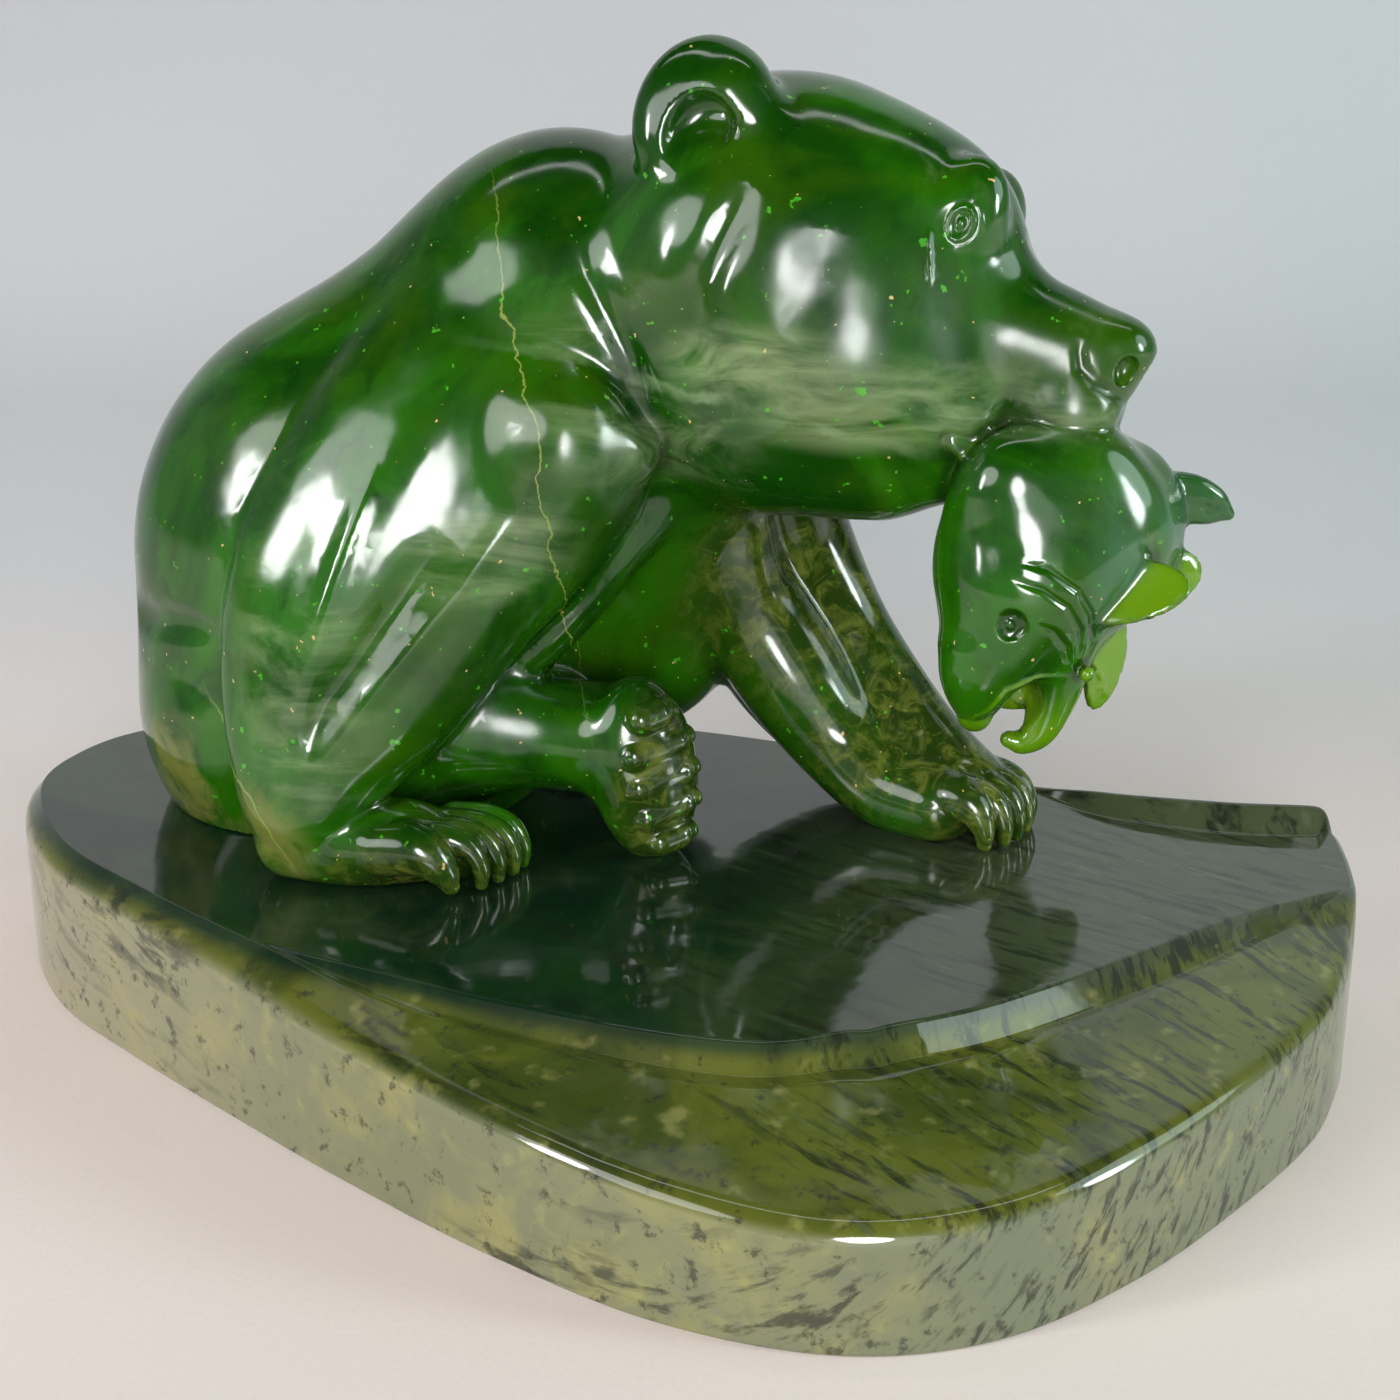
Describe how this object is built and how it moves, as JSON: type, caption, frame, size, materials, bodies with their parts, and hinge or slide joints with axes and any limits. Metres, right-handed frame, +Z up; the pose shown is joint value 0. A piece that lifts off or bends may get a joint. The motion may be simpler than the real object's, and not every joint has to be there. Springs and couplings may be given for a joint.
{
  "type": "bear carving",
  "caption": "Polished green jade carving of a bear leaning on its forepaws with a salmon in its jaws, on a thick jade slab plinth with a sloped and stepped front edge.",
  "frame": {"origin": "centre of the bounding box at the plinth's flat underside", "axes": "+X along the plinth's length, the way the bear's body faces; -Y the near side, which the head turns towards; +Z up"},
  "size_m": [0.2905, 0.2127, 0.2059],
  "materials": {
    "carved_jade": "mirror-polished translucent green nephrite jade with pale veins",
    "plinth_jade": "polished dark green to olive jade with black specks"
  },
  "bodies": {
    "root": {"bear_and_salmon": "carved_jade", "plinth": "plinth_jade"}
  },
  "joints": []
}
